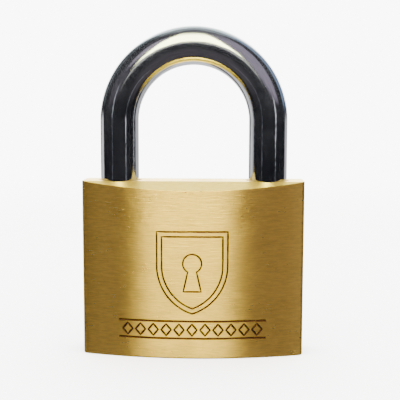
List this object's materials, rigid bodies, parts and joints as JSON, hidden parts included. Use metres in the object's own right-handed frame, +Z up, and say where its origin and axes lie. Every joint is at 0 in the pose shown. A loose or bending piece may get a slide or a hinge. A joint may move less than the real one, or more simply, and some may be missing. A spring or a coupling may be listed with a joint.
{
  "type": "padlock",
  "caption": "Solid brass padlock with a round steel shackle, double locking bolts and a pin-tumbler cylinder opened from below.",
  "frame": {"origin": "middle of the body's underside", "axes": "+Z up towards the bow of the shackle, +X towards the toe side where the shackle comes free, -Y the decorated front face"},
  "size_m": [0.05, 0.0172, 0.0742],
  "materials": {
    "satin_brass": "satin, fine horizontal brushing",
    "chromed_steel": "polished chrome over hardened steel",
    "plug_brass": "turned, slightly duller than the body",
    "hardened_steel": "ground",
    "spring_steel": "drawn wire"
  },
  "bodies": {
    "lock_body": {"body": "satin_brass", "shackle_spring": "spring_steel", "shackle_retaining_pin": "satin_brass", "bolt_bore_plug": "satin_brass", "plug_retaining_pin": "satin_brass", "pin_spring_1": "spring_steel", "pin_spring_2": "spring_steel", "pin_spring_3": "spring_steel", "pin_spring_4": "spring_steel", "pin_spring_5": "spring_steel", "chamber_plug_1": "satin_brass", "chamber_plug_2": "satin_brass", "chamber_plug_3": "satin_brass", "chamber_plug_4": "satin_brass", "chamber_plug_5": "satin_brass"},
    "bow": {"shackle": "chromed_steel"},
    "plug": {"cylinder_plug": "plug_brass", "cam": "hardened_steel"},
    "toe_bolt": {"toe_bolt": "hardened_steel", "bolt_spring": "spring_steel"},
    "heel_bolt": {"heel_bolt": "hardened_steel"},
    "driver_pin_1": {"driver_pin_1": "hardened_steel"},
    "key_pin_1": {"key_pin_1": "plug_brass"},
    "driver_pin_2": {"driver_pin_2": "hardened_steel"},
    "key_pin_2": {"key_pin_2": "plug_brass"},
    "driver_pin_3": {"driver_pin_3": "hardened_steel"},
    "key_pin_3": {"key_pin_3": "plug_brass"},
    "driver_pin_4": {"driver_pin_4": "hardened_steel"},
    "key_pin_4": {"key_pin_4": "plug_brass"},
    "driver_pin_5": {"driver_pin_5": "hardened_steel"},
    "key_pin_5": {"key_pin_5": "plug_brass"}
  },
  "joints": [
    {"name": "shackle_lift", "type": "slide", "parent": "lock_body", "child": "bow", "axis": [0, 0, 1], "range_m": [0, 0.0142], "deforming": ["shackle_spring"]},
    {"name": "plug_turn", "type": "hinge", "parent": "lock_body", "child": "plug", "pos_m": [0, 0, 0.012], "axis": [0, 0, 1], "range_deg": [-90, 0]},
    {"name": "toe_bolt_slide", "type": "slide", "parent": "lock_body", "child": "toe_bolt", "axis": [1, 0, 0], "range_m": [0, 0.002], "deforming": ["bolt_spring"]},
    {"name": "heel_bolt_slide", "type": "slide", "parent": "lock_body", "child": "heel_bolt", "axis": [-1, 0, 0], "range_m": [0, 0.002]},
    {"name": "driver_pin_1_slide", "type": "slide", "parent": "lock_body", "child": "driver_pin_1", "axis": [1, 0, 0], "range_m": [0, 0.002], "stiffness_N_per_m": 40, "springref_m": -0.002, "deforming": ["pin_spring_1"]},
    {"name": "driver_pin_2_slide", "type": "slide", "parent": "lock_body", "child": "driver_pin_2", "axis": [1, 0, 0], "range_m": [0, 0.002], "stiffness_N_per_m": 40, "springref_m": -0.002, "deforming": ["pin_spring_2"]},
    {"name": "driver_pin_3_slide", "type": "slide", "parent": "lock_body", "child": "driver_pin_3", "axis": [1, 0, 0], "range_m": [0, 0.002], "stiffness_N_per_m": 40, "springref_m": -0.002, "deforming": ["pin_spring_3"]},
    {"name": "driver_pin_4_slide", "type": "slide", "parent": "lock_body", "child": "driver_pin_4", "axis": [1, 0, 0], "range_m": [0, 0.002], "stiffness_N_per_m": 40, "springref_m": -0.002, "deforming": ["pin_spring_4"]},
    {"name": "driver_pin_5_slide", "type": "slide", "parent": "lock_body", "child": "driver_pin_5", "axis": [1, 0, 0], "range_m": [0, 0.002], "stiffness_N_per_m": 40, "springref_m": -0.002, "deforming": ["pin_spring_5"]},
    {"name": "key_pin_1_slide", "type": "slide", "parent": "plug", "child": "key_pin_1", "axis": [0, -1, 0], "range_m": [0, 0.00215]},
    {"name": "key_pin_2_slide", "type": "slide", "parent": "plug", "child": "key_pin_2", "axis": [0, -1, 0], "range_m": [0, 0.00095]},
    {"name": "key_pin_3_slide", "type": "slide", "parent": "plug", "child": "key_pin_3", "axis": [0, -1, 0], "range_m": [0, 0.00175]},
    {"name": "key_pin_4_slide", "type": "slide", "parent": "plug", "child": "key_pin_4", "axis": [0, -1, 0], "range_m": [0, 0.00055]},
    {"name": "key_pin_5_slide", "type": "slide", "parent": "plug", "child": "key_pin_5", "axis": [0, -1, 0], "range_m": [0, 0.00135]}
  ],
  "couplings": [
    {"joint": "toe_bolt_slide", "follows": "plug_turn", "m_per_rad": -0.0012732},
    {"joint": "heel_bolt_slide", "follows": "plug_turn", "m_per_rad": -0.0012732}
  ]
}
